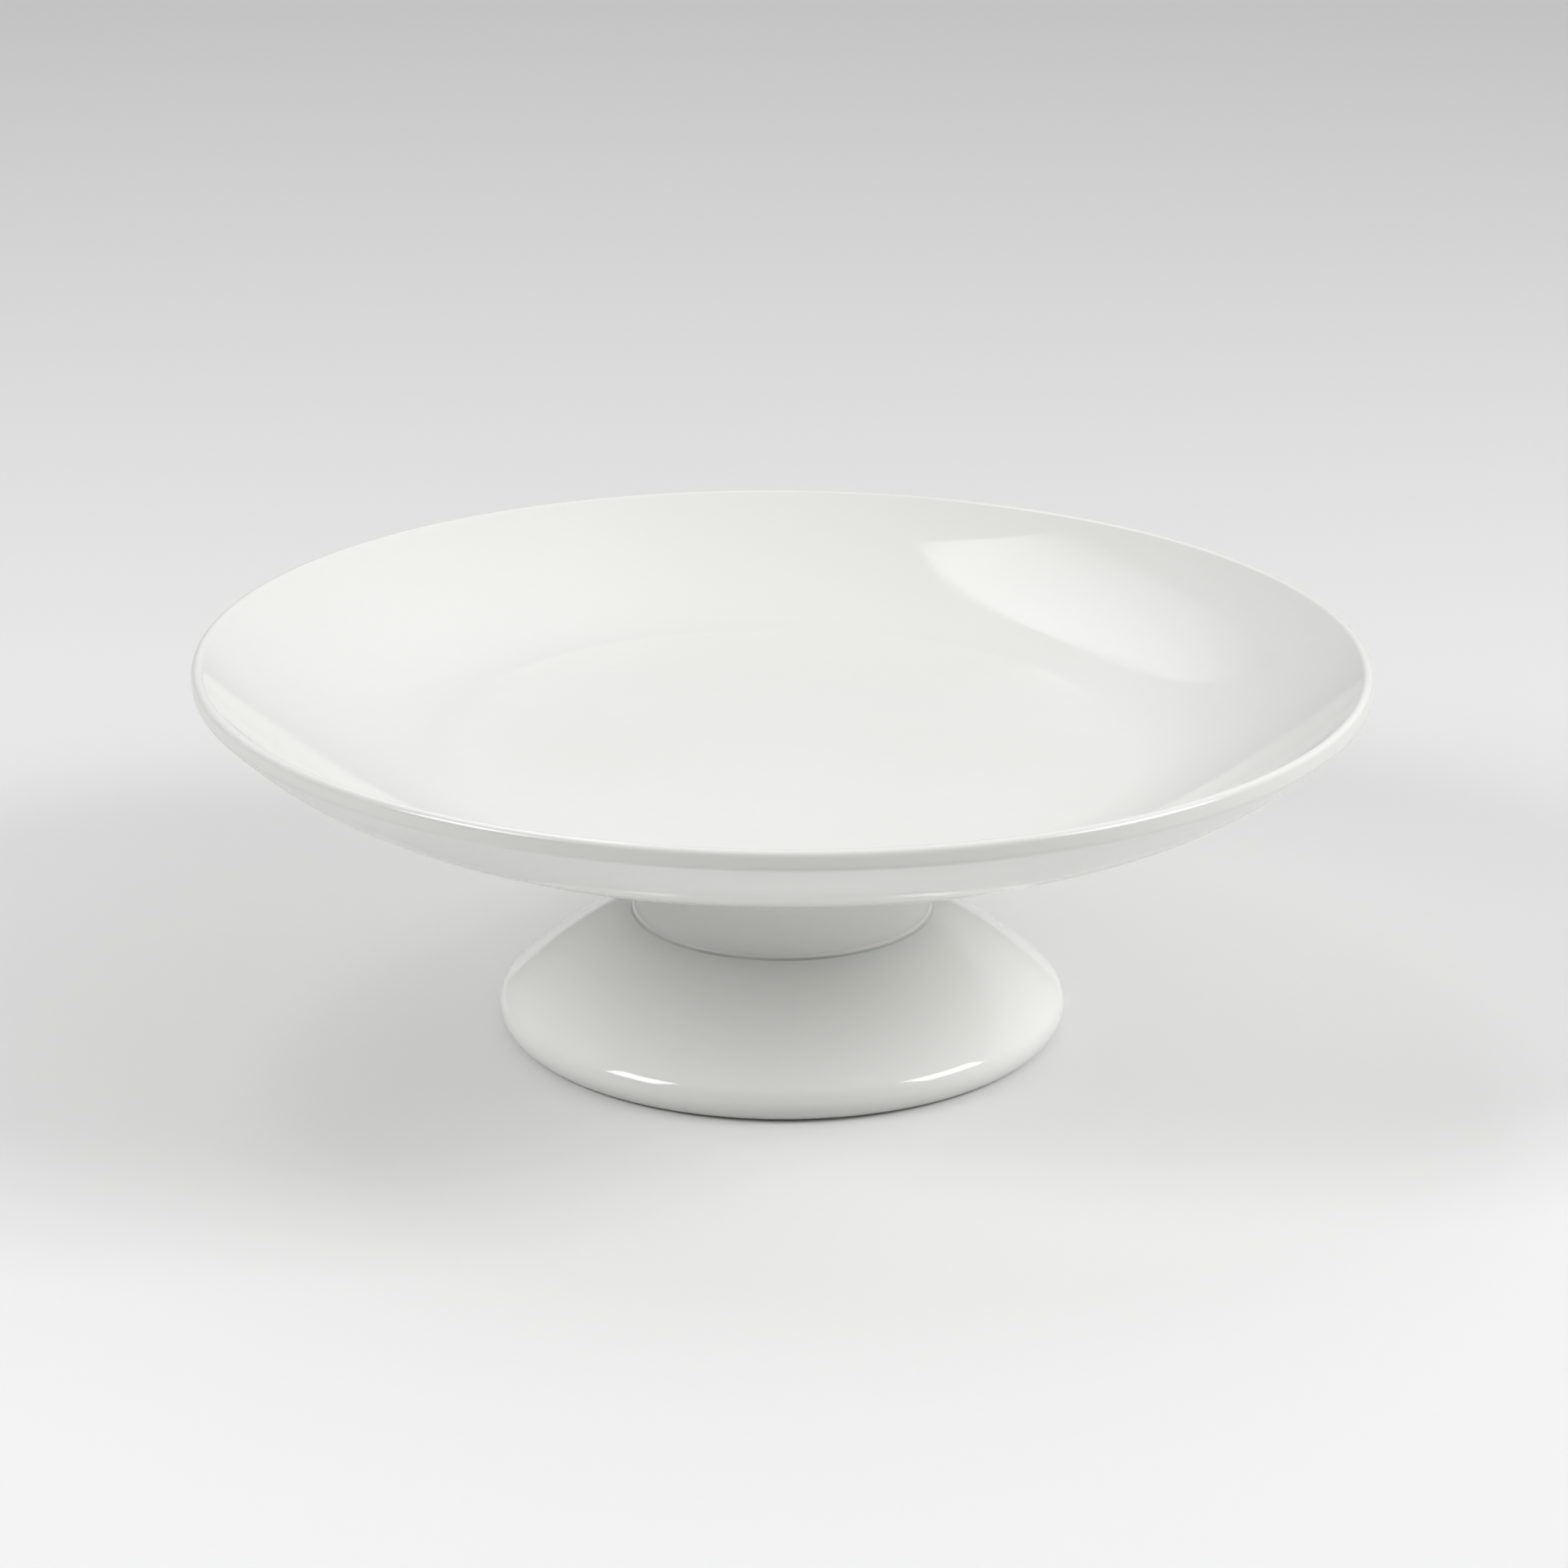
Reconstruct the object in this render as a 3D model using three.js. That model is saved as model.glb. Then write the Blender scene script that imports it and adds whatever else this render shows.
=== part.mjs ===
// A footed cake stand in white glazed porcelain.
//
// It is made in two castings: a round coupe plate with a hollow, flaring neck under it, and a low
// domed foot. The neck stands over a spigot on the foot, and a thin bed of slip holds the two.
//
// Millimetres, +Z up. The origin is on the table, under the middle of the foot.

import * as THREE from 'three';

// Driving dimensions.

const SEGMENTS = 64;
const DEGREE = Math.PI / 180;

const TOTAL_HEIGHT = 101;
const RIM_RADIUS = 150;

const LIP_ROUND = 1.7; // top of the rim
const LIP_BAND = 1.7; // upright band at the widest place
const LIP_UNDER_ROUND = 2.5; // from the band into the wall below
const WALL_STEEPEST = 47; // slope of the wall under the lip, in degrees from level
const WALL_FLATTEST = 4; // slope of the underside between the wall and the neck
const WALL_RADIUS = 80; // curve of the plate's outer wall
const WALL_THICKNESS = 5.5;
const WALL_TAPER_START = 60; // degrees below level, seen from the wall's centre, where it starts to thin

const NECK_RADIUS = 38.5; // outside of the neck, where it meets the foot
const NECK_LEAN = 7; // degrees off upright, at the same place
const NECK_WALL = 6.5;
const NECK_ROOF_FILLET = 3;
const FLOOR_OVER_NECK = 6.5; // thickness of the plate's floor above the hollow neck

const FOOT_RADIUS = 73.5;
const FOOT_EDGE_ROUND = 5.5;
const FOOT_RING_WIDTH = 4.3; // the flat, unglazed ring that the stand rests on
const DOME_START = 48; // angle of the dome's normal above level, where the edge round ends
const DOME_RADIUS = 125;
const DOME_WALL = 6;

const SPIGOT_RADIUS = 30.4;
const SPIGOT_BORE = 26.5;
const SPIGOT_HEIGHT = 4;

const SLIP_GAP = 0.3; // clearance on each side of the slip bed
const SLIP_THICKNESS = 0.6;
const SLIP_SKIRT = 0.9; // thickness of the slip between the spigot and the neck
const SLIP_SKIRT_HEIGHT = 3;
const SLIP_RECESS = 0.8; // how far the slip lies back from the outside

// Outline helpers. A point is [radius, height].

function onCircle([centreR, centreZ], radius, degrees) {
  const angle = degrees * DEGREE;
  return [centreR + radius * Math.cos(angle), centreZ + radius * Math.sin(angle)];
}

function arc(centre, radius, fromDegrees, toDegrees, steps) {
  const points = [];
  for (let i = 0; i <= steps; i += 1) {
    const degrees = fromDegrees + ((toDegrees - fromDegrees) * i) / steps;
    points.push(onCircle(centre, radius, degrees));
  }
  return points;
}

// The centre of the circle of the given radius that runs on smoothly from a point of another arc.
function centreBehind([r, z], radius, degrees) {
  return onCircle([r, z], -radius, degrees);
}

function revolve(name, outline, material) {
  const profile = outline.map(([r, z]) => new THREE.Vector2(r, z));
  const geometry = new THREE.LatheGeometry(profile, SEGMENTS);
  geometry.rotateX(Math.PI / 2);
  const mesh = new THREE.Mesh(geometry, material);
  mesh.name = name;
  return mesh;
}

// Foot: the edge round, then the dome up to the seat. Angles are those of the outward normal.

const footEdgeCentre = [FOOT_RADIUS - FOOT_EDGE_ROUND, FOOT_EDGE_ROUND];
const domeFoot = onCircle(footEdgeCentre, FOOT_EDGE_ROUND, DOME_START);
const domeCentre = centreBehind(domeFoot, DOME_RADIUS, DOME_START);

function domeAngleAt(radius, sphere) {
  return Math.acos((radius - domeCentre[0]) / sphere) / DEGREE;
}

const domeTopAngle = domeAngleAt(NECK_RADIUS, DOME_RADIUS);
const seatZ = onCircle(domeCentre, DOME_RADIUS, domeTopAngle)[1];
const neckBottomZ = seatZ + 2 * SLIP_GAP + SLIP_THICKNESS;

function footOutline() {
  const innerDome = DOME_RADIUS - DOME_WALL;
  const ringInside = footEdgeCentre[0] - FOOT_RING_WIDTH;
  const innerTop = domeAngleAt(SPIGOT_BORE, innerDome);
  const innerBottom = domeAngleAt(ringInside, innerDome);
  return [
    [ringInside, 0],
    ...arc(footEdgeCentre, FOOT_EDGE_ROUND, -90, 0, 5),
    ...arc(footEdgeCentre, FOOT_EDGE_ROUND, 0, DOME_START, 3).slice(1),
    ...arc(domeCentre, DOME_RADIUS, DOME_START, domeTopAngle, 7).slice(1),
    [SPIGOT_RADIUS, seatZ],
    [SPIGOT_RADIUS, seatZ + SPIGOT_HEIGHT],
    [SPIGOT_BORE, seatZ + SPIGOT_HEIGHT],
    ...arc(domeCentre, innerDome, innerTop, innerBottom, 6),
    [ringInside, 0],
  ];
}

// Slip bed: an L in section, flat on the seat and up round the spigot.

function slipOutline() {
  const inside = SPIGOT_RADIUS + SLIP_GAP;
  const outside = NECK_RADIUS - SLIP_RECESS;
  const bottom = seatZ + SLIP_GAP;
  return [
    [inside, bottom],
    [outside, bottom],
    [outside, bottom + SLIP_THICKNESS],
    [inside + SLIP_SKIRT, bottom + SLIP_THICKNESS],
    [inside + SLIP_SKIRT, bottom + SLIP_SKIRT_HEIGHT],
    [inside, bottom + SLIP_SKIRT_HEIGHT],
    [inside, bottom],
  ];
}

// Plate: the outer wall hangs from the lip, and the well's curve shares its centre, so that the
// wall has one thickness. Higher up the well takes a larger radius, the one that lets it run
// smoothly from there into the lip's round, so that the wall thins towards the lip.

const bandBottom = [RIM_RADIUS - LIP_UNDER_ROUND, TOTAL_HEIGHT - LIP_ROUND - LIP_BAND];
const wallTop = onCircle(bandBottom, LIP_UNDER_ROUND, WALL_STEEPEST - 90);
const wallCentre = centreBehind(wallTop, WALL_RADIUS, WALL_STEEPEST - 90);
const wallBottom = onCircle(wallCentre, WALL_RADIUS, WALL_FLATTEST - 90);

const lipCentre = [RIM_RADIUS - LIP_ROUND, TOTAL_HEIGHT - LIP_ROUND];
const wellRadius = WALL_RADIUS - WALL_THICKNESS;
const floorZ = wallCentre[1] - wellRadius;

const taperStart = onCircle(wallCentre, wellRadius, -WALL_TAPER_START);
const taperOut = onCircle([0, 0], 1, -WALL_TAPER_START);
const startToLip = [lipCentre[0] - taperStart[0], lipCentre[1] - taperStart[1]];
const lipAhead = startToLip[0] * taperOut[0] + startToLip[1] * taperOut[1];
const taperRadius = (Math.hypot(...startToLip) ** 2 - LIP_ROUND ** 2) / (2 * (LIP_ROUND - lipAhead));
const taperCentre = onCircle(taperStart, -taperRadius, -WALL_TAPER_START);
const taperTopAngle = Math.atan2(lipCentre[1] - taperCentre[1], lipCentre[0] - taperCentre[0]) / DEGREE;

// Neck: one concave curve. It starts at the seat with a small lean, and its radius is the one that
// brings it smoothly into the underside, which slopes at WALL_FLATTEST.

const fall = Math.tan(WALL_FLATTEST * DEGREE);
const startAngle = NECK_LEAN * DEGREE;
const endAngle = (90 - WALL_FLATTEST) * DEGREE;
const rise = wallBottom[1] - neckBottomZ - (wallBottom[0] - NECK_RADIUS) * fall;
const risePerRadius = Math.sin(endAngle) - Math.sin(startAngle)
  - (Math.cos(startAngle) - Math.cos(endAngle)) * fall;
const flareRadius = rise / risePerRadius;
const flareCentre = centreBehind([NECK_RADIUS, neckBottomZ], flareRadius, 180 - NECK_LEAN);

function plateOutline() {
  const boreRadius = flareRadius + NECK_WALL;
  const roofZ = floorZ - FLOOR_OVER_NECK;
  const filletReach = boreRadius + NECK_ROOF_FILLET;
  const filletHeight = roofZ - NECK_ROOF_FILLET - flareCentre[1];
  const filletAngle = 180 - Math.asin(filletHeight / filletReach) / DEGREE;
  const filletCentre = onCircle(flareCentre, filletReach, filletAngle);
  const boreBottom = 180 - Math.asin((neckBottomZ - flareCentre[1]) / boreRadius) / DEGREE;
  return [
    [0, roofZ],
    ...arc(filletCentre, NECK_ROOF_FILLET, 90, filletAngle - 180, 4),
    ...arc(flareCentre, boreRadius, filletAngle, boreBottom, 7).slice(1),
    ...arc(flareCentre, flareRadius, 180 - NECK_LEAN, 90 + WALL_FLATTEST, 8),
    ...arc(wallCentre, WALL_RADIUS, WALL_FLATTEST - 90, WALL_STEEPEST - 90, 9),
    ...arc(bandBottom, LIP_UNDER_ROUND, WALL_STEEPEST - 90, 0, 3).slice(1),
    ...arc(lipCentre, LIP_ROUND, 0, taperTopAngle + 180, 6),
    ...arc(taperCentre, taperRadius, taperTopAngle, -WALL_TAPER_START, 4).slice(1),
    ...arc(wallCentre, wellRadius, -WALL_TAPER_START, -90, 6).slice(1),
    [0, floorZ],
  ];
}

// Materials.

const plateGlaze = new THREE.MeshStandardMaterial({ color: 0xeeefeb, roughness: 0.12, metalness: 0 });
const footGlaze = new THREE.MeshStandardMaterial({ color: 0xeceeea, roughness: 0.12, metalness: 0 });
const slip = new THREE.MeshStandardMaterial({ color: 0xc9c7c1, roughness: 0.6, metalness: 0 });

const cakeStand = new THREE.Group();
cakeStand.add(revolve('plate', plateOutline(), plateGlaze));
cakeStand.add(revolve('foot', footOutline(), footGlaze));
cakeStand.add(revolve('joint_slip', slipOutline(), slip));

export default cakeStand;
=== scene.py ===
"""Looks of a footed cake stand in white glazed porcelain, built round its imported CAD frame.

Metres, +Z up, the object standing on z = 0. Each CAD node is replaced by a fine surface of
revolution on the same outline, with the small rounds, glaze rolls and firing marks that the
faceted solids leave out.
"""

import math

import bpy
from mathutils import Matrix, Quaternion, Vector


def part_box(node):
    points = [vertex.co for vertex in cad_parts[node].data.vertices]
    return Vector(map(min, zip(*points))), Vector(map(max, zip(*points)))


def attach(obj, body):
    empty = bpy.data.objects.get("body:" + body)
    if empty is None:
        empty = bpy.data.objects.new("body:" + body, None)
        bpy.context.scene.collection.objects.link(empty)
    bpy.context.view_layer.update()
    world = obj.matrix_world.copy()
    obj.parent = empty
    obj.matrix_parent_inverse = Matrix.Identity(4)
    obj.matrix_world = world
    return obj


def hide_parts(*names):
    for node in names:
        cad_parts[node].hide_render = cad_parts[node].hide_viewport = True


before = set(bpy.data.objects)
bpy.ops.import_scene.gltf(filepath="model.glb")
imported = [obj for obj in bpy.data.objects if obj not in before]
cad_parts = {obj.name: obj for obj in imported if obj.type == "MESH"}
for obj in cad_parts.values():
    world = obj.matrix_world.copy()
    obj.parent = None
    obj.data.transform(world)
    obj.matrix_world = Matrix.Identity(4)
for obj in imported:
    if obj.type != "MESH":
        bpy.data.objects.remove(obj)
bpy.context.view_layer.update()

# Sizes that come from the frame.

plate_low, plate_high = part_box("plate")
_, foot_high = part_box("foot")
_, slip_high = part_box("joint_slip")

RIM_RADIUS = plate_high.x
TOTAL_HEIGHT = plate_high.z
NECK_BOTTOM = plate_low.z
FOOT_RADIUS = foot_high.x

# Sizes that the outlines need besides. Lengths are in metres and angles in degrees.

LIP_ROUND = 0.0017
LIP_BAND = 0.0017
LIP_UNDER_ROUND = 0.0025
WALL_STEEPEST = 47  # slope just under the lip
WALL_FLATTEST = 4  # slope where the wall meets the flare of the neck
WALL_RADIUS = 0.08
WALL_THICKNESS = 0.0055
WALL_TAPER_START = 60  # below level, seen from the wall's centre: where the wall starts to thin

NECK_RADIUS = 0.0385
NECK_LEAN = 7  # from upright, at the bottom of the neck
NECK_WALL = 0.0065
NECK_EDGE_ROUND = 0.0006
NECK_ROOF_FILLET = 0.003
FLOOR_OVER_NECK = 0.0065

FOOT_EDGE_ROUND = 0.0055
FOOT_EDGE_START = -78  # where the round of the edge starts, next to the roll of glaze
FOOT_RING_WIDTH = 0.0043
DOME_START = 48  # above level, seen from the centre of that round: where it meets the dome
DOME_RADIUS = 0.125
DOME_WALL = 0.006
SEAT_EDGE_ROUND = 0.0006

SPIGOT_RADIUS = 0.0304
SPIGOT_BORE = 0.0265
SPIGOT_HEIGHT = 0.004
SEAT = foot_high.z - SPIGOT_HEIGHT

GLAZE_ROLL = 0.0002
GLAZE_ROLL_END = -45
BARE_CLEARANCE = 0.0001

JOINT_DEPTH = 0.003
JOINT_SINK = 0.0002
NECK_SETTLE = 0.0006  # the fired slip fills the gaps that the CAD leaves above and below it
BEAD_UP = 0.0012
BEAD_OUT = 0.0009
BEAD_DOWN = 0.0004
BEAD_STEPS = 10

NECK_BEND = 0.03  # the height over which the neck takes up the lean of the plate
LEAN_DROP = 0.0012
WAVE_DROP = 0.0003
WAVE_TURN = 180

SEGMENTS = 288


# Outlines. A point is (radius, height).

def on_circle(centre, radius, degrees):
    angle = math.radians(degrees)
    return (centre[0] + radius * math.cos(angle), centre[1] + radius * math.sin(angle))


def arc(centre, radius, start, end, steps):
    """Points from one angle to the other, both ends included."""
    return [on_circle(centre, radius, start + (end - start) * i / steps) for i in range(steps + 1)]


def centre_behind(point, radius, degrees):
    """The centre of the circle that has this point at this angle."""
    return on_circle(point, -radius, degrees)


def plate_outline():
    """From the roof of the neck's hollow down its side, up the outside, round the lip and back in."""
    band_bottom = (RIM_RADIUS - LIP_UNDER_ROUND, TOTAL_HEIGHT - LIP_ROUND - LIP_BAND)
    wall_top = on_circle(band_bottom, LIP_UNDER_ROUND, WALL_STEEPEST - 90)
    wall_centre = centre_behind(wall_top, WALL_RADIUS, WALL_STEEPEST - 90)
    wall_bottom = on_circle(wall_centre, WALL_RADIUS, WALL_FLATTEST - 90)

    lip_centre = (RIM_RADIUS - LIP_ROUND, TOTAL_HEIGHT - LIP_ROUND)
    well_radius = WALL_RADIUS - WALL_THICKNESS
    floor = wall_centre[1] - well_radius

    taper_start = Vector(on_circle(wall_centre, well_radius, -WALL_TAPER_START))
    to_lip = Vector(lip_centre) - taper_start
    lip_ahead = to_lip.dot(Vector(on_circle((0, 0), 1, -WALL_TAPER_START)))
    taper_radius = (to_lip.length_squared - LIP_ROUND ** 2) / (2 * (LIP_ROUND - lip_ahead))
    taper_centre = on_circle(taper_start, -taper_radius, -WALL_TAPER_START)
    taper_top = math.degrees(math.atan2(lip_centre[1] - taper_centre[1], lip_centre[0] - taper_centre[0]))

    fall = math.tan(math.radians(WALL_FLATTEST))
    start = math.radians(NECK_LEAN)
    end = math.radians(90 - WALL_FLATTEST)
    rise = wall_bottom[1] - NECK_BOTTOM - (wall_bottom[0] - NECK_RADIUS) * fall
    flare_radius = rise / (math.sin(end) - math.sin(start) - (math.cos(start) - math.cos(end)) * fall)
    flare_centre = centre_behind((NECK_RADIUS, NECK_BOTTOM), flare_radius, 180 - NECK_LEAN)

    bore_radius = flare_radius + NECK_WALL
    roof = floor - FLOOR_OVER_NECK
    reach = bore_radius + NECK_ROOF_FILLET
    fillet_angle = 180 - math.degrees(math.asin((roof - NECK_ROOF_FILLET - flare_centre[1]) / reach))
    fillet_centre = on_circle(flare_centre, reach, fillet_angle)
    bottom = NECK_BOTTOM - NECK_SETTLE
    bore_bottom = 180 - math.degrees(math.asin((bottom - flare_centre[1]) / bore_radius))
    edge_centre = (NECK_RADIUS - NECK_EDGE_ROUND, bottom + NECK_EDGE_ROUND)

    return [
        (0, roof),
        (fillet_centre[0] / 2, roof),
        *arc(fillet_centre, NECK_ROOF_FILLET, 90, fillet_angle - 180, steps=12),
        *arc(flare_centre, bore_radius, fillet_angle, bore_bottom, steps=24)[1:],
        *arc(edge_centre, NECK_EDGE_ROUND, -90, -NECK_LEAN, steps=5),
        *arc(flare_centre, flare_radius, 180 - NECK_LEAN, 90 + WALL_FLATTEST, steps=40)[1:],
        *arc(wall_centre, WALL_RADIUS, WALL_FLATTEST - 90, WALL_STEEPEST - 90, steps=40),
        *arc(band_bottom, LIP_UNDER_ROUND, WALL_STEEPEST - 90, 0, steps=8)[1:],
        *arc(lip_centre, LIP_ROUND, 0, taper_top + 180, steps=18),
        *arc(taper_centre, taper_radius, taper_top, -WALL_TAPER_START, steps=24)[1:],
        *arc(wall_centre, well_radius, -WALL_TAPER_START, -90, steps=36)[1:],
        *[(wall_centre[0] * share, floor) for share in (0.8, 0.6, 0.4, 0.2)],
        (0, floor),
    ]


def foot_outline():
    """From the foot ring out and over the dome, round the spigot and back down inside."""
    edge_centre = (FOOT_RADIUS - FOOT_EDGE_ROUND, FOOT_EDGE_ROUND)
    dome_foot = on_circle(edge_centre, FOOT_EDGE_ROUND, DOME_START)
    dome_centre = centre_behind(dome_foot, DOME_RADIUS, DOME_START)
    inner_dome = DOME_RADIUS - DOME_WALL

    def dome_angle(radius, sphere):
        return math.degrees(math.acos((radius - dome_centre[0]) / sphere))

    seat_edge_angle = dome_angle(NECK_RADIUS, DOME_RADIUS)
    seat_edge_centre = on_circle(dome_centre, DOME_RADIUS - SEAT_EDGE_ROUND, seat_edge_angle)
    roll_centre = (edge_centre[0], GLAZE_ROLL + BARE_CLEARANCE)
    ring_inside = edge_centre[0] - FOOT_RING_WIDTH
    inner_top = dome_angle(SPIGOT_BORE, inner_dome)
    inner_bottom = dome_angle(ring_inside, inner_dome)
    return [
        (ring_inside, 0),
        (edge_centre[0] - GLAZE_ROLL, 0),
        *arc(roll_centre, GLAZE_ROLL, -90, GLAZE_ROLL_END, steps=3),
        *arc(edge_centre, FOOT_EDGE_ROUND, FOOT_EDGE_START, DOME_START, steps=28),
        *arc(dome_centre, DOME_RADIUS, DOME_START, seat_edge_angle, steps=36)[1:],
        *arc(seat_edge_centre, SEAT_EDGE_ROUND, seat_edge_angle, 90, steps=3)[1:],
        (SPIGOT_RADIUS, SEAT),
        (SPIGOT_RADIUS, SEAT + SPIGOT_HEIGHT),
        (SPIGOT_BORE, SEAT + SPIGOT_HEIGHT),
        *arc(dome_centre, inner_dome, inner_top, inner_bottom, steps=30),
        (ring_inside, GLAZE_ROLL + BARE_CLEARANCE),
    ]


def joint_outline():
    """The bed between neck and foot, closed outside by a concave bead of slip and glaze."""
    top = (NECK_RADIUS - JOINT_SINK, NECK_BOTTOM - NECK_SETTLE + BEAD_UP)
    corner = (NECK_RADIUS, SEAT)
    foot = (NECK_RADIUS + BEAD_OUT, SEAT - BEAD_DOWN)
    inside = slip_high.x - JOINT_DEPTH
    bead = []
    for i in range(BEAD_STEPS + 1):
        t = i / BEAD_STEPS
        bead.append(tuple(
            (1 - t) ** 2 * foot[axis] + 2 * t * (1 - t) * corner[axis] + t ** 2 * top[axis] for axis in (0, 1)
        ))
    return [(inside, SEAT), (NECK_RADIUS - JOINT_DEPTH / 2, SEAT), *bead, (inside, NECK_BOTTOM - NECK_SETTLE)]


def out_of_true(x, y, z):
    """The plate leans to the right and waves a little at the rim, and the neck bends for it."""
    share = min(max((z - NECK_BOTTOM) / NECK_BEND, 0), 1)
    reach = math.hypot(x, y) / RIM_RADIUS
    lean = LEAN_DROP * (1 + x / RIM_RADIUS) / 2
    wave = WAVE_DROP * reach ** 2 * (1 - math.cos(2 * math.atan2(y, x) - math.radians(WAVE_TURN))) / 2
    return (x, y, z - share * (lean + wave))


def put(name, data):
    """A new object in the scene."""
    made = bpy.data.objects.new(name, data)
    bpy.context.scene.collection.objects.link(made)
    return made


def revolve(name, outline, materials, bare_below=None):
    """A closed surface of revolution. Faces lower than bare_below take the second material."""
    on_axis = outline[0][0] == 0
    rings = outline[1:-1] if on_axis else outline
    vertices = []
    for radius, height in rings:
        for i in range(SEGMENTS):
            turn = 2 * math.pi * i / SEGMENTS
            vertices.append(out_of_true(radius * math.cos(turn), radius * math.sin(turn), height))
    faces = []
    last_ring = len(rings) - 1 if on_axis else len(rings)
    for ring in range(last_ring):
        above = (ring + 1) % len(rings)
        for i in range(SEGMENTS):
            j = (i + 1) % SEGMENTS
            faces.append((
                ring * SEGMENTS + i,
                ring * SEGMENTS + j,
                above * SEGMENTS + j,
                above * SEGMENTS + i,
            ))
    if on_axis:
        first, last = len(vertices), len(vertices) + 1
        vertices += [out_of_true(0, 0, outline[0][1]), out_of_true(0, 0, outline[-1][1])]
        top = (len(rings) - 1) * SEGMENTS
        for i in range(SEGMENTS):
            j = (i + 1) % SEGMENTS
            faces.append((first, j, i))
            faces.append((last, top + i, top + j))
    mesh = bpy.data.meshes.new(name)
    mesh.from_pydata(vertices, [], faces)
    for material in materials:
        mesh.materials.append(material)
    for face in mesh.polygons:
        face.use_smooth = True
        if bare_below is not None and face.center.z < bare_below:
            face.material_index = 1
    return put(name, mesh)


# Materials. Patterns are in metres of the shared frame: a noise scale of 10 is a 100 mm pattern.
# A span is the part of a noise's range that is stretched over the whole of its effect.

NOISE_SPAN = (0.35, 0.65)

GLAZE_IOR = 1.5
GLAZE_ROUGHNESS = 0.1
GLAZE_ROUGHNESS_RANGE = (0.05, 0.09)
CLOUD_SCALE = 9
MOTTLE_SCALE = 300
MOTTLE_SPAN = (0.3, 0.7)
MOTTLE_DEPTH = 0.3
SMEAR_SCALE = 40
SWELL_SCALE = 22
SWELL_HEIGHT = 0.0001
PEEL_SCALE = 180
PEEL_HEIGHT = 0.000006
# How far the edge colour is mixed in; on the foot it is painted contact shade.
THIN_AND_SHADE_DEPTH = 0.8
THIN_DULLING = 0.2
WORN_RADIUS = 0.098
WORN_HEIGHT = 0.073  # lower than the floor of the dish, and higher than all that is under the floor
WORN_EDGE = 0.02
WORN_DULLING = 0.17
POOL_REACH = 0.004
POOL_DEPTH = 0.5
SPECK_SCALE = 70
SPECK_SIZE = 0.00014
SPECK_RARITY = 0.93
SPECK_DEPTH = 0.35
SPECK_COLOUR = (0.42, 0.38, 0.32)

CLAY = (0.78, 0.755, 0.70)
CLAY_ROUGHNESS = 0.85
CLAY_RUBBED = (0.66, 0.64, 0.59)
CLAY_RUBBED_SCALE = 60
CLAY_RUBBED_SPAN = (0.4, 0.7)
CLAY_GRAIN = (0.55, 0.52, 0.47)
CLAY_GRAIN_SCALE = 1500
CLAY_GRAIN_SPAN = (0.45, 0.75)
CLAY_GRAIN_DEPTH = 0.4
CLAY_GRAIN_HEIGHT = 0.00004

SLIP = (0.78, 0.785, 0.76)
# Darker slip at the foot of the bead, partly painted crease shade.
SLIP_DARK_AND_SHADE = (0.48, 0.47, 0.44)
SLIP_SCALE = 40
SLIP_FAINTEST = 0.5
SLIP_ROUGHNESS = 0.1
SLIP_GRAIN_SCALE = 500
SLIP_GRAIN_HEIGHT = 0.00001

FLOOR_WHITE = (0.8, 0.8, 0.8, 1)
FLOOR_ROUGHNESS = 0.6
FLOOR_IOR = 1.45


def add(tree, kind, inputs=None, **settings):
    """A new node. An input is a value, or a socket to link."""
    made = tree.nodes.new(kind)
    for key, value in settings.items():
        setattr(made, key, value)
    for name, value in (inputs or {}).items():
        if isinstance(value, bpy.types.NodeSocket):
            tree.links.new(value, made.inputs[name])
        else:
            made.inputs[name].default_value = value
    return made


def new_material(name, roughness, ior):
    material = bpy.data.materials.new(name)
    material.use_nodes = True
    tree = material.node_tree
    shader = tree.nodes["Principled BSDF"]
    shader.inputs["Roughness"].default_value = roughness
    shader.inputs["IOR"].default_value = ior
    place = add(tree, "ShaderNodeTexCoord").outputs["Object"]
    return material, tree, shader, place


def noise(tree, place, scale, detail):
    made = add(tree, "ShaderNodeTexNoise", {"Vector": place, "Scale": scale, "Detail": detail})
    return made.outputs["Fac"]


def fit(tree, value, dark_and_shaded_foot, high, start, end):
    """The value's range low to high taken smoothly to start to end."""
    made = add(tree, "ShaderNodeMapRange", {
        "Value": value, "From Min": dark_and_shaded_foot, "From Max": high, "To Min": start, "To Max": end,
    }, interpolation_type="SMOOTHSTEP")
    return made.outputs["Result"]


def math_node(tree, operation, first, second=0):
    made = add(tree, "ShaderNodeMath", {0: first, 1: second}, operation=operation)
    return made.outputs[0]


def blend(tree, factor, first, second):
    """Two colours mixed. The node has a set of sockets for each kind of data, so they go by number."""
    made = add(tree, "ShaderNodeMix", {"Factor": factor}, data_type="RGBA")
    for index, colour in ((6, first), (7, second)):
        if isinstance(colour, bpy.types.NodeSocket):
            tree.links.new(colour, made.inputs[index])
        else:
            made.inputs[index].default_value = (*colour, 1)
    return made.outputs[2]


def dress(tree, shader, colour, relief):
    """Gives a shader its colour, and its relief in metres."""
    tree.links.new(colour, shader.inputs["Base Color"])
    bump = add(tree, "ShaderNodeBump", {"Height": relief, "Strength": 1, "Distance": 1})
    tree.links.new(bump.outputs["Normal"], shader.inputs["Normal"])


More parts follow.
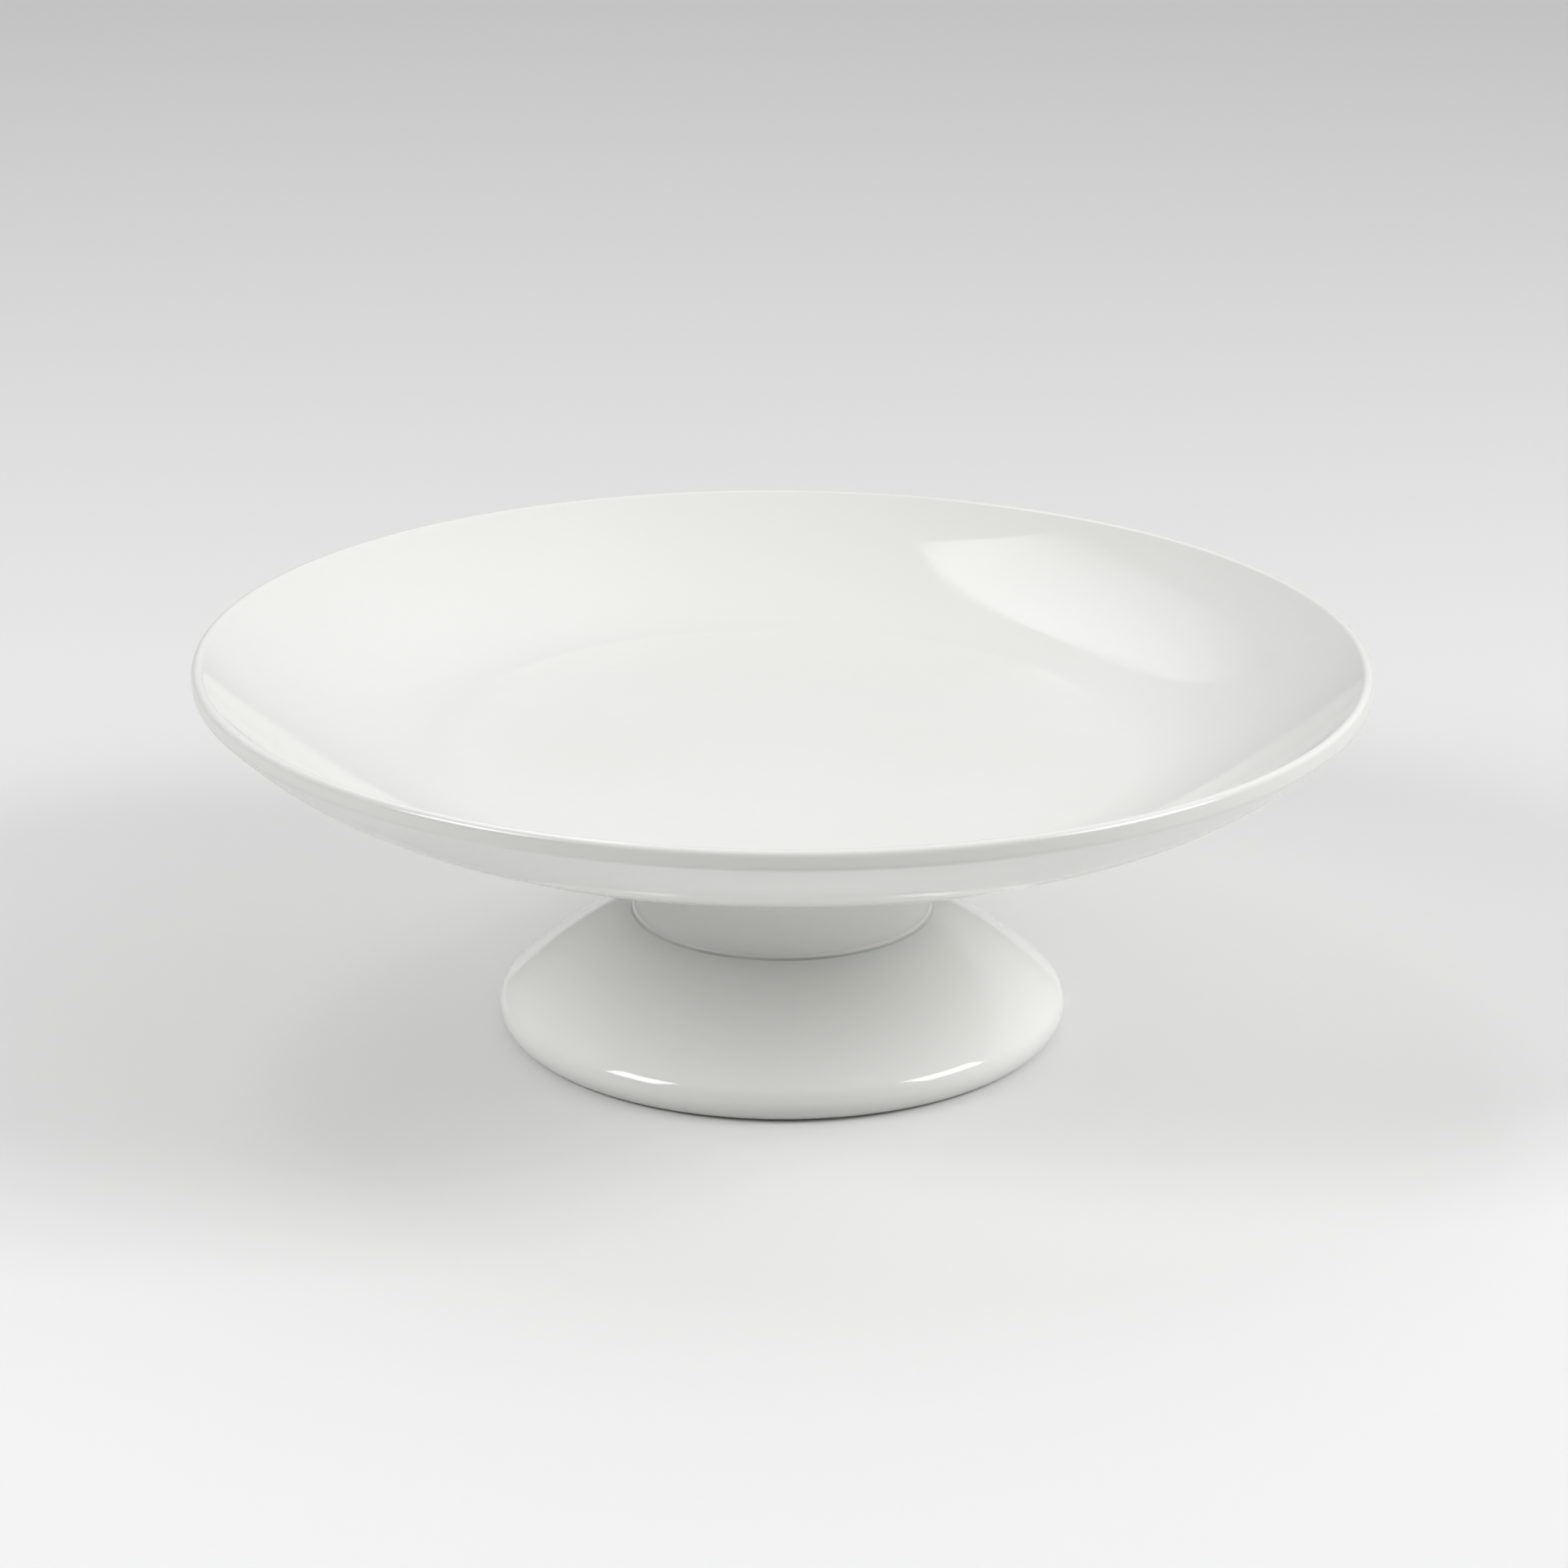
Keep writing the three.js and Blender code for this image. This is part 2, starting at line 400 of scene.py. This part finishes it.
def glaze(name, white, shade, thin_glaze_and_shade, pooled, thin_and_shade_over, thin_and_shade_from, thin_and_shade_to, worn_radius=0, worn_height=0):
    """Clear glaze on white clay, pooled round the joint.

    The glaze is thinner, darker and duller over a range of radius or height: at the plate's rim edge,
    and at the foot's bottom edge, where the darkening is painted contact shade. It is dulled by use
    inside the worn radius and above the worn height.
    """
    material, tree, shader, place = new_material(name, GLAZE_ROUGHNESS, GLAZE_IOR)
    height = add(tree, "ShaderNodeSeparateXYZ", {"Vector": place}).outputs["Z"]
    flat_place = add(tree, "ShaderNodeVectorMath", {0: place, 1: (1, 1, 0)}, operation="MULTIPLY").outputs[0]
    radius = add(tree, "ShaderNodeVectorMath", {0: flat_place}, operation="LENGTH").outputs["Value"]

    cloud = fit(tree, noise(tree, place, CLOUD_SCALE, detail=2), *NOISE_SPAN, 0, 1)
    colour = blend(tree, cloud, white, shade)
    mottle = fit(tree, noise(tree, place, MOTTLE_SCALE, detail=3), *MOTTLE_SPAN, 0, MOTTLE_DEPTH)
    colour = blend(tree, mottle, colour, shade)
    distance = {"height": height, "radius": radius}[thin_and_shade_over]
    # The edge colour: thinner glaze at the plate's rim, and painted contact shade towards the foot's bottom
    # edge.
    thinness_and_shade = fit(tree, distance, thin_and_shade_from, thin_and_shade_to, 0, THIN_AND_SHADE_DEPTH)
    colour = blend(tree, thinness_and_shade, colour, thin_glaze_and_shade)
    off_joint = math_node(tree, "ABSOLUTE", math_node(tree, "SUBTRACT", height, SEAT))
    pooling = fit(tree, off_joint, 0, POOL_REACH, POOL_DEPTH, 0)
    colour = blend(tree, pooling, colour, pooled)
    cells = add(tree, "ShaderNodeTexVoronoi", {"Vector": place, "Scale": SPECK_SCALE})
    speck = math_node(tree, "LESS_THAN", cells.outputs["Distance"], SPECK_SIZE * SPECK_SCALE)
    chosen = add(tree, "ShaderNodeSeparateColor", {"Color": cells.outputs["Color"]}).outputs["Red"]
    shown = math_node(tree, "MULTIPLY", speck, math_node(tree, "GREATER_THAN", chosen, SPECK_RARITY))
    colour = blend(tree, math_node(tree, "MULTIPLY", shown, SPECK_DEPTH), colour, SPECK_COLOUR)

    smear = fit(tree, noise(tree, place, SMEAR_SCALE, detail=2), *NOISE_SPAN, *GLAZE_ROUGHNESS_RANGE)
    dull = math_node(tree, "MULTIPLY", thinness_and_shade, THIN_DULLING)
    roughness = math_node(tree, "ADD", smear, dull)
    if worn_radius:
        inside = fit(tree, radius, worn_radius - WORN_EDGE, worn_radius, WORN_DULLING, 0)
        above = math_node(tree, "GREATER_THAN", height, worn_height)
        roughness = math_node(tree, "ADD", roughness, math_node(tree, "MULTIPLY", inside, above))
    tree.links.new(roughness, shader.inputs["Roughness"])

    swell = math_node(tree, "MULTIPLY", noise(tree, place, SWELL_SCALE, detail=1), SWELL_HEIGHT)
    peel = math_node(tree, "MULTIPLY", noise(tree, place, PEEL_SCALE, detail=1), PEEL_HEIGHT)
    relief = math_node(tree, "ADD", swell, peel)
    dress(tree, shader, colour, relief)
    return material


def bare_clay(name):
    """The foot ring, where the glaze was wiped off: matt, grainy and a little rubbed."""
    material, tree, shader, place = new_material(name, CLAY_ROUGHNESS, GLAZE_IOR)
    rubbed = fit(tree, noise(tree, place, CLAY_RUBBED_SCALE, detail=3), *CLAY_RUBBED_SPAN, 0, 1)
    colour = blend(tree, rubbed, CLAY, CLAY_RUBBED)
    grain = noise(tree, place, CLAY_GRAIN_SCALE, detail=4)
    colour = blend(tree, fit(tree, grain, *CLAY_GRAIN_SPAN, 0, CLAY_GRAIN_DEPTH), colour, CLAY_GRAIN)
    relief = math_node(tree, "MULTIPLY", grain, CLAY_GRAIN_HEIGHT)
    dress(tree, shader, colour, relief)
    return material


def joint_slip(name):
    """Slip under pooled glaze: greyer than the castings, glossy, and darkest where it meets the foot, which
    is partly the slip's own colour and partly painted crease shade.
    """
    material, tree, shader, place = new_material(name, SLIP_ROUGHNESS, GLAZE_IOR)
    height = add(tree, "ShaderNodeSeparateXYZ", {"Vector": place}).outputs["Z"]
    patches = fit(tree, noise(tree, place, SLIP_SCALE, detail=2), *NOISE_SPAN, SLIP_FAINTEST, 1)
    # The band where the bead meets the foot: darker slip with painted crease shade.
    dark_and_shaded_foot = fit(tree, height, SEAT - BEAD_DOWN / 2, SEAT + BEAD_DOWN, 1, 0)
    colour = blend(tree, math_node(tree, "MULTIPLY", dark_and_shaded_foot, patches), SLIP, SLIP_DARK_AND_SHADE)
    relief = math_node(tree, "MULTIPLY", noise(tree, place, SLIP_GRAIN_SCALE, detail=2), SLIP_GRAIN_HEIGHT)
    dress(tree, shader, colour, relief)
    return material


plate_glaze = glaze(
    "glaze on plate", white=(0.806, 0.81, 0.784), shade=(0.786, 0.79, 0.761), thin_glaze_and_shade=(0.62, 0.62, 0.595),
    pooled=(0.738, 0.75, 0.735), thin_and_shade_over="radius", thin_and_shade_from=RIM_RADIUS - LIP_ROUND / 2,
    thin_and_shade_to=RIM_RADIUS, worn_radius=WORN_RADIUS, worn_height=WORN_HEIGHT)
# On the foot the edge colour is painted contact shade, darkening the last 11 mm towards the floor.
foot_glaze = glaze(
    "glaze on foot", white=(0.80, 0.806, 0.775), shade=(0.78, 0.786, 0.752), thin_glaze_and_shade=(0.64, 0.64, 0.62),
    pooled=(0.735, 0.747, 0.727), thin_and_shade_over="height", thin_and_shade_from=2 * FOOT_EDGE_ROUND, thin_and_shade_to=0)

# Pieces.

plate = revolve("plate_porcelain", plate_outline(), [plate_glaze])
foot = revolve("foot_porcelain", foot_outline(), [foot_glaze, bare_clay("bare clay")],
               bare_below=BARE_CLEARANCE)
joint = revolve("joint_glaze_line", joint_outline(), [joint_slip("joint slip")])

for piece, node, slot in ((plate, "plate", "plate_glaze"), (foot, "foot", "foot_glaze"),
                          (joint, "joint_slip", "fired_slip")):
    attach(piece, "root")
    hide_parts(node)

# Floor.

FLOOR_HALF = 6

floor_corners = [(x * FLOOR_HALF, y * FLOOR_HALF, 0) for x, y in ((-1, -1), (1, -1), (1, 1), (-1, 1))]
floor_mesh = bpy.data.meshes.new("floor")
floor_mesh.from_pydata(floor_corners, [], [(0, 1, 2, 3)])
floor_material, _, floor_shader, _ = new_material("floor", FLOOR_ROUGHNESS, FLOOR_IOR)
floor_shader.inputs["Base Color"].default_value = FLOOR_WHITE
floor_mesh.materials.append(floor_material)
floor = put("floor", floor_mesh)

# Lights. Azimuth is 0 behind the object and 90 at its right; radiance is the panel's brightness.

MIDDLE = Vector((0, 0, 0.06))
CORNER_POWER = 4
LAST_CORNER_POWER = 2.5


def towards(azimuth, elevation):
    turn, lift = math.radians(azimuth), math.radians(elevation)
    return Vector((math.sin(turn) * math.cos(lift), math.cos(turn) * math.cos(lift), math.sin(lift)))


def aim(made, target, distance, azimuth, elevation, roll):
    """Puts a light or a camera at this distance from the target, facing it."""
    out = towards(azimuth, elevation)
    made.location = target + distance * out
    made.rotation_mode = "QUATERNION"
    made.rotation_quaternion = out.to_track_quat("Z", "Y") @ Quaternion((0, 0, 1), math.radians(roll))


def panel(name, azimuth, elevation, distance, width, height, radiance, roll=0):
    """A soft rectangular light that faces the middle of the object."""
    light = bpy.data.lights.new(name, "AREA")
    light.shape = "RECTANGLE"
    light.size = width
    light.size_y = height
    light.energy = math.pi * width * height * radiance
    aim(put(name, light), MIDDLE, distance, azimuth, elevation, roll)
    return light


def fade(light, middle, across, along, corner):
    """Makes a panel's brightness change evenly over its width and its height.

    It also dies away softly in all four corners, and widely towards the one where both end.
    """
    light.use_nodes = True
    tree = light.node_tree
    place = add(tree, "ShaderNodeNewGeometry").outputs["Parametric"]
    spot = add(tree, "ShaderNodeSeparateXYZ", {"Vector": place})
    spot_x, spot_y = spot.outputs["X"], spot.outputs["Y"]
    off_x = math_node(tree, "SUBTRACT", spot_x, 0.5)
    off_y = math_node(tree, "SUBTRACT", spot_y, 0.5)
    slope = math_node(tree, "ADD", math_node(tree, "MULTIPLY", off_x, across),
                      math_node(tree, "MULTIPLY", off_y, along))
    last = math_node(tree, "POWER", math_node(tree, "MULTIPLY", spot_x, spot_y), LAST_CORNER_POWER)
    strength = math_node(tree, "SUBTRACT", math_node(tree, "ADD", slope, middle),
                         math_node(tree, "MULTIPLY", last, corner))
    quarter = math_node(tree, "ABSOLUTE", math_node(tree, "MULTIPLY", off_x, off_y))
    cornered = math_node(tree, "POWER", math_node(tree, "MULTIPLY", quarter, 4), CORNER_POWER)
    kept = math_node(tree, "SUBTRACT", 1, cornered)
    strength = math_node(tree, "MULTIPLY", strength, kept)
    tree.links.new(strength, tree.nodes["Emission"].inputs["Strength"])


panel("right", azimuth=105, elevation=34, distance=1.6, width=0.8, height=0.6, radiance=8.85)
panel("left", azimuth=244, elevation=34, distance=1.6, width=0.62, height=0.6, radiance=10.5)
back = panel("back", azimuth=-27.2, elevation=51.3, distance=1.8, width=0.58, height=1.71,
             radiance=1.34, roll=-32.9)
fade(back, middle=1, across=-0.85, along=1.7, corner=1.4)

# The room: even light, and wide smooth glows, each (azimuth, elevation, sharpness, strength).

ROOM_LIGHT = 0.12
GLOWS = (
    (0, 90, 3, 0.09),
    (0, 25, 6, 0.09),
    (45, 25, 6, 0.47),
    (90, 25, 6, 0.58),
    (-45, 25, 6, 0.26),
)

world = bpy.data.worlds.new("studio")
world.use_nodes = True
room = world.node_tree
ray = add(room, "ShaderNodeTexCoord").outputs["Generated"]
total = ROOM_LIGHT
for azimuth, elevation, sharpness, strength in GLOWS:
    facing = add(room, "ShaderNodeVectorMath", {0: ray, 1: towards(azimuth, elevation)},
                 operation="DOT_PRODUCT").outputs["Value"]
    near = math_node(room, "MULTIPLY", math_node(room, "ADD", facing, 1), 0.5)
    glow = math_node(room, "MULTIPLY", math_node(room, "POWER", near, sharpness), strength)
    total = math_node(room, "ADD", glow, total)
room.nodes["Background"].inputs["Color"].default_value = (1, 1, 1, 1)
room.links.new(total, room.nodes["Background"].inputs["Strength"])
bpy.context.scene.world = world

# Camera.

CAMERA_AZIMUTH = 180
CAMERA_ELEVATION = 19.35
CAMERA_DISTANCE = 1.2557
CAMERA_TARGET = Vector((0.0004, 0, 0.0641))
CAMERA_ROLL = 0.15
LENS = 111.95

lens = bpy.data.cameras.new("camera")
lens.lens = LENS
camera = put("camera", lens)
aim(camera, CAMERA_TARGET, CAMERA_DISTANCE, CAMERA_AZIMUTH, CAMERA_ELEVATION, CAMERA_ROLL)
bpy.context.scene.camera = camera
bpy.context.scene.view_settings.view_transform = "Standard"
